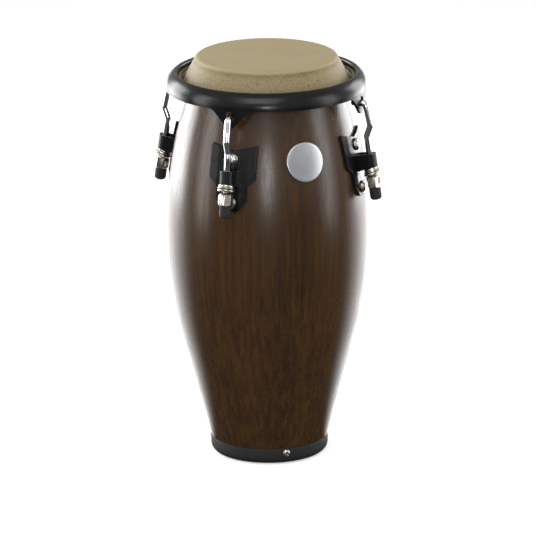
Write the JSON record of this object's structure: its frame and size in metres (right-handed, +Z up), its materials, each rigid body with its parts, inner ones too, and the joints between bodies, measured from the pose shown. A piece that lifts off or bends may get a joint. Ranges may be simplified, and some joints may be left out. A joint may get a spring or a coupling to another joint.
{
  "type": "mini conga drum",
  "caption": "Small conga with a bellied wooden shell, a natural skin head, a steel rim pulled down by hooked tuning rods, and a rubber foot ring.",
  "frame": {"origin": "on the floor, under the middle of the shell", "axes": "+Z up along the shell's axis; -Y towards the badge; +X to the right seen from the front"},
  "size_m": [0.1982, 0.1982, 0.4],
  "materials": {
    "stained_wood": "dark stain under semi-gloss lacquer",
    "black_rubber": "matt",
    "raw_skin": "raw, slightly fibrous",
    "black_steel": "black powder coat",
    "nickel": "nickel plated",
    "chrome": "polished",
    "zinc_steel": "zinc plated",
    "silver_badge": "satin, bare"
  },
  "bodies": {
    "shell": {"back_nut_lower_back_left": "zinc_steel", "back_nut_lower_back_right": "zinc_steel", "back_nut_lower_front_left": "zinc_steel", "back_nut_lower_front_right": "zinc_steel", "back_nut_upper_back_left": "zinc_steel", "back_nut_upper_back_right": "zinc_steel", "back_nut_upper_front_left": "zinc_steel", "back_nut_upper_front_right": "zinc_steel", "back_washer_lower_back_left": "zinc_steel", "back_washer_lower_back_right": "zinc_steel", "back_washer_lower_front_left": "zinc_steel", "back_washer_lower_front_right": "zinc_steel", "back_washer_upper_back_left": "zinc_steel", "back_washer_upper_back_right": "zinc_steel", "back_washer_upper_front_left": "zinc_steel", "back_washer_upper_front_right": "zinc_steel", "badge": "silver_badge", "cup_washer_back_left": "nickel", "cup_washer_back_right": "nickel", "cup_washer_front_left": "nickel", "cup_washer_front_right": "nickel", "foot_ring": "black_rubber", "foot_screw_front": "nickel", "foot_screw_left": "nickel", "foot_screw_right": "nickel", "head_top": "raw_skin", "plate_bolt_lower_back_left": "nickel", "plate_bolt_lower_back_right": "nickel", "plate_bolt_lower_front_left": "nickel", "plate_bolt_lower_front_right": "nickel", "plate_bolt_upper_back_left": "nickel", "plate_bolt_upper_back_right": "nickel", "plate_bolt_upper_front_left": "nickel", "plate_bolt_upper_front_right": "nickel", "seat_washer_back_left": "nickel", "seat_washer_back_right": "nickel", "seat_washer_front_left": "nickel", "seat_washer_front_right": "nickel", "shell": "stained_wood", "side_plate_back_left": "black_steel", "side_plate_back_right": "black_steel", "side_plate_front_left": "black_steel", "side_plate_front_right": "black_steel"},
    "rim": {"rim": "black_steel", "flesh_hoop": "zinc_steel", "head_tuck": "raw_skin", "head_collar": "raw_skin"},
    "rod_front_left": {"tuning_rod_front_left": "chrome", "end_cap_front_left": "black_rubber"},
    "nut_front_left": {"tuning_nut_front_left": "nickel"},
    "rod_front_right": {"tuning_rod_front_right": "chrome", "end_cap_front_right": "black_rubber"},
    "nut_front_right": {"tuning_nut_front_right": "nickel"},
    "rod_back_right": {"tuning_rod_back_right": "chrome", "end_cap_back_right": "black_rubber"},
    "nut_back_right": {"tuning_nut_back_right": "nickel"},
    "rod_back_left": {"tuning_rod_back_left": "chrome", "end_cap_back_left": "black_rubber"},
    "nut_back_left": {"tuning_nut_back_left": "nickel"}
  },
  "joints": [
    {"name": "rim_travel", "type": "slide", "parent": "shell", "child": "rim", "axis": [0, 0, 1], "range_m": [-0.008, 0], "deforming": ["head_collar"]},
    {"name": "rod_travel_front_left", "type": "slide", "parent": "shell", "child": "rod_front_left", "axis": [0.1073, 0.1073, 0.9884], "range_m": [-0.0082, 0]},
    {"name": "nut_turn_front_left", "type": "hinge", "parent": "shell", "child": "nut_front_left", "pos_m": [-0.077, -0.077, 0.29425], "axis": [0.1073, 0.1073, 0.9884], "range_deg": [0, 2300]},
    {"name": "rod_travel_front_right", "type": "slide", "parent": "shell", "child": "rod_front_right", "axis": [-0.1073, 0.1073, 0.9884], "range_m": [-0.0082, 0]},
    {"name": "nut_turn_front_right", "type": "hinge", "parent": "shell", "child": "nut_front_right", "pos_m": [0.077, -0.077, 0.29425], "axis": [-0.1073, 0.1073, 0.9884], "range_deg": [0, 2300]},
    {"name": "rod_travel_back_right", "type": "slide", "parent": "shell", "child": "rod_back_right", "axis": [-0.1073, -0.1073, 0.9884], "range_m": [-0.0082, 0]},
    {"name": "nut_turn_back_right", "type": "hinge", "parent": "shell", "child": "nut_back_right", "pos_m": [0.077, 0.077, 0.29425], "axis": [-0.1073, -0.1073, 0.9884], "range_deg": [0, 2300]},
    {"name": "rod_travel_back_left", "type": "slide", "parent": "shell", "child": "rod_back_left", "axis": [0.1073, -0.1073, 0.9884], "range_m": [-0.0082, 0]},
    {"name": "nut_turn_back_left", "type": "hinge", "parent": "shell", "child": "nut_back_left", "pos_m": [-0.077, 0.077, 0.29425], "axis": [0.1073, -0.1073, 0.9884], "range_deg": [0, 2300]}
  ],
  "couplings": [
    {"joint": "rod_travel_front_left", "follows": "rim_travel", "ratio": 1.0117},
    {"joint": "nut_turn_front_left", "follows": "rim_travel", "rad_per_m": -5005.3},
    {"joint": "rod_travel_front_right", "follows": "rim_travel", "ratio": 1.0117},
    {"joint": "nut_turn_front_right", "follows": "rim_travel", "rad_per_m": -5005.3},
    {"joint": "rod_travel_back_right", "follows": "rim_travel", "ratio": 1.0117},
    {"joint": "nut_turn_back_right", "follows": "rim_travel", "rad_per_m": -5005.3},
    {"joint": "rod_travel_back_left", "follows": "rim_travel", "ratio": 1.0117},
    {"joint": "nut_turn_back_left", "follows": "rim_travel", "rad_per_m": -5005.3}
  ]
}
